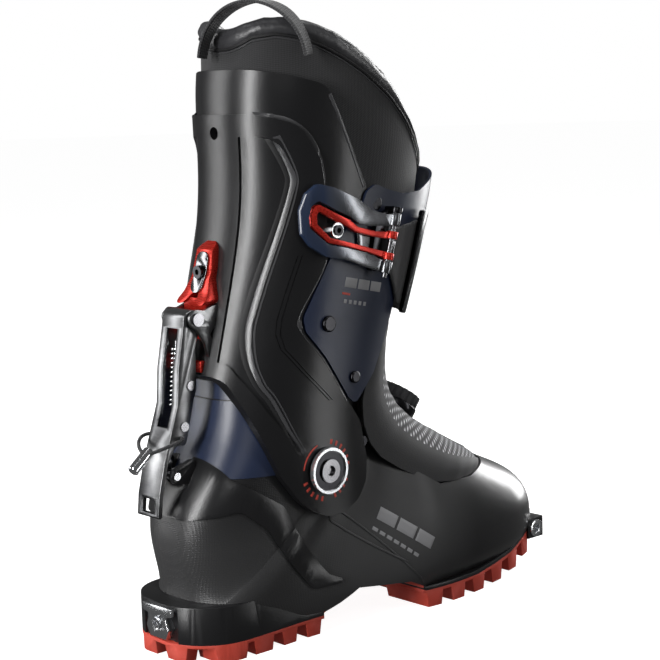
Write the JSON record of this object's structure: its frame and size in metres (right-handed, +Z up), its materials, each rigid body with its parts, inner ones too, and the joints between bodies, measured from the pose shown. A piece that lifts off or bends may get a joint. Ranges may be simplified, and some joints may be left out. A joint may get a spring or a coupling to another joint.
{
  "type": "ski touring boot",
  "caption": "Right-foot ski-touring boot: hinged cuff with heel lock lever, buckle lever and bail, ratchet dial, liner, lugged sole and binding inserts.",
  "frame": {"origin": "on the ground under the middle of the heel tread", "axes": "+X towards the toe, +Y towards the wearer's left (the inner side of this right boot), +Z up"},
  "size_m": [0.3152, 0.1112, 0.3565],
  "materials": {
    "shell_black": "satin moulded plastic",
    "sole_black": "matt moulded plastic",
    "steel": "brushed",
    "chrome_steel": "polished",
    "tread_red": "matt rubber",
    "liner_fabric": "fine knit over foam",
    "footbed_foam": "felt over foam",
    "gaiter_fabric": "softshell",
    "mesh_fabric": "open mesh",
    "webbing": "ribbed webbing",
    "dial_rubber": "ribbed",
    "rivet_black": "gloss",
    "frame_black": "satin",
    "navy_plastic": "satin",
    "cuff_black": "satin moulded plastic",
    "red_anodised": "anodised",
    "lever_aluminium": "brushed",
    "collar_fabric": "padded synthetic leather",
    "cord_black": "braided cord",
    "lever_navy": "gloss, bare metal at the arms"
  },
  "bodies": {
    "root": {"lower_shell": "shell_black", "heel_sole": "sole_black", "toe_sole": "sole_black", "heel_tech_insert": "steel", "heel_insert_screw": "steel", "toe_tech_insert": "steel", "arch_strip": "tread_red", "heel_tread": "tread_red", "toe_tread": "tread_red", "boot_board": "shell_black", "liner_foot": "liner_fabric", "footbed": "footbed_foam", "instep_gaiter": "gaiter_fabric", "gaiter_mesh": "mesh_fabric", "instep_strap": "webbing", "dial_base": "shell_black", "pivot_bushing_lateral": "steel", "pivot_bushing_medial": "steel", "pivot_ring_lateral": "chrome_steel", "pivot_ring_medial": "chrome_steel", "pivot_bolt_lateral": "chrome_steel", "pivot_bolt_medial": "chrome_steel", "shell_rivets": "rivet_black", "heel_frame": "frame_black", "lock_bar": "steel", "heel_spine_panel": "navy_plastic"},
    "dial": {"dial_knob": "dial_rubber"},
    "cuff": {"cuff": "cuff_black", "cuff_tongue": "navy_plastic", "tongue_rivets": "rivet_black", "power_strap": "webbing", "strap_plate": "shell_black", "buckle_pin": "chrome_steel", "buckle_base": "shell_black", "catch_screw": "steel", "catch_washer": "chrome_steel", "lean_bracket": "red_anodised", "lean_plate": "steel", "lean_screw": "steel", "side_plates": "lever_aluminium", "lever_bumper": "red_anodised", "lever_pin": "chrome_steel", "liner_cuff": "liner_fabric", "liner_collar": "collar_fabric", "pull_loop": "webbing"},
    "rear_lever": {"lock_lever": "lever_aluminium", "lock_hook": "steel", "lever_rivets": "steel", "lever_spring": "chrome_steel", "spring_rod": "steel", "pull_cord": "cord_black", "pull_toggle": "chrome_steel"},
    "buckle_lever": {"buckle_lever": "lever_navy"},
    "buckle_bail": {"buckle_bail": "red_anodised"}
  },
  "joints": [
    {"name": "cuff_hinge", "type": "hinge", "parent": "root", "child": "cuff", "pos_m": [0.045, 0, 0.0975], "axis": [0, 1, 0], "range_deg": [0, 18]},
    {"name": "walk_lever", "type": "hinge", "parent": "cuff", "child": "rear_lever", "pos_m": [-0.014, 0, 0.186], "axis": [0, 1, 0], "range_deg": [0, 140]},
    {"name": "buckle_lever_hinge", "type": "hinge", "parent": "cuff", "child": "buckle_lever", "pos_m": [0.091, -0.056, 0.2205], "axis": [0.2891, 0, 0.9573], "range_deg": [0, 100]},
    {"name": "bail_hinge", "type": "hinge", "parent": "cuff", "child": "buckle_bail", "pos_m": [0.091, -0.056, 0.2205], "axis": [0.2891, 0, 0.9573], "range_deg": [0, 55]},
    {"name": "dial_spin", "type": "hinge", "parent": "root", "child": "dial", "pos_m": [0.137, -0.006, 0.1135], "axis": [0.5689, -0.0799, 0.8185], "continuous": true}
  ]
}
